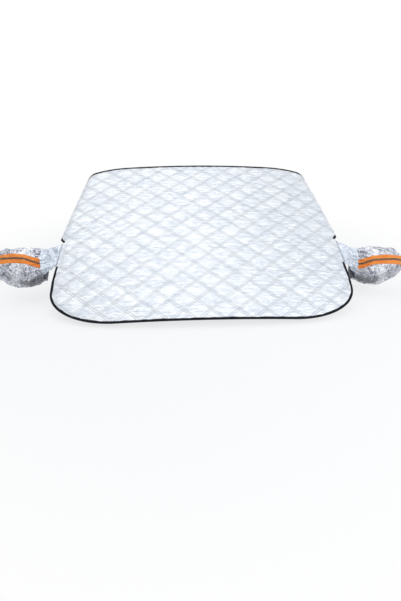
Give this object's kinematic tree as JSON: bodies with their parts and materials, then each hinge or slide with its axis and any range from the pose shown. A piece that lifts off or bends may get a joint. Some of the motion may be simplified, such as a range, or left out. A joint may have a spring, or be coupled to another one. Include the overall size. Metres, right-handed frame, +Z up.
{
  "type": "windshield frost cover",
  "caption": "Quilted silvery cover for a car windscreen, with black bound edges, wings that wrap the screen pillars and a gathered pocket for a door mirror on each side.",
  "frame": {"origin": "middle of the panel's inner face, where it lies on the windscreen", "axes": "+X to the right in the picture, across the car; +Y towards the back of the car; +Z up; the screen slopes 30 degrees"},
  "size_m": [2.1514, 0.9406, 0.5574],
  "materials": {
    "aluminised_film": "silvery quilted film, softly shiny",
    "pocket_film": "crumpled silvery film",
    "black_tape": "matt woven tape",
    "orange_tape": "fluorescent woven tape",
    "grey_reflective_tape": "glass-bead reflective",
    "elastic": "matt woven elastic"
  },
  "bodies": {
    "root": {"quilted_panel": "aluminised_film", "lower_edge_binding": "black_tape", "upper_edge_binding": "black_tape", "left_pocket_neck": "pocket_film", "left_mirror_pocket": "pocket_film", "left_mouth_elastic": "elastic", "left_orange_tape": "orange_tape", "left_grey_stripe": "grey_reflective_tape", "right_pocket_neck": "pocket_film", "right_mirror_pocket": "pocket_film", "right_mouth_elastic": "elastic", "right_orange_tape": "orange_tape", "right_grey_stripe": "grey_reflective_tape"}
  },
  "joints": []
}
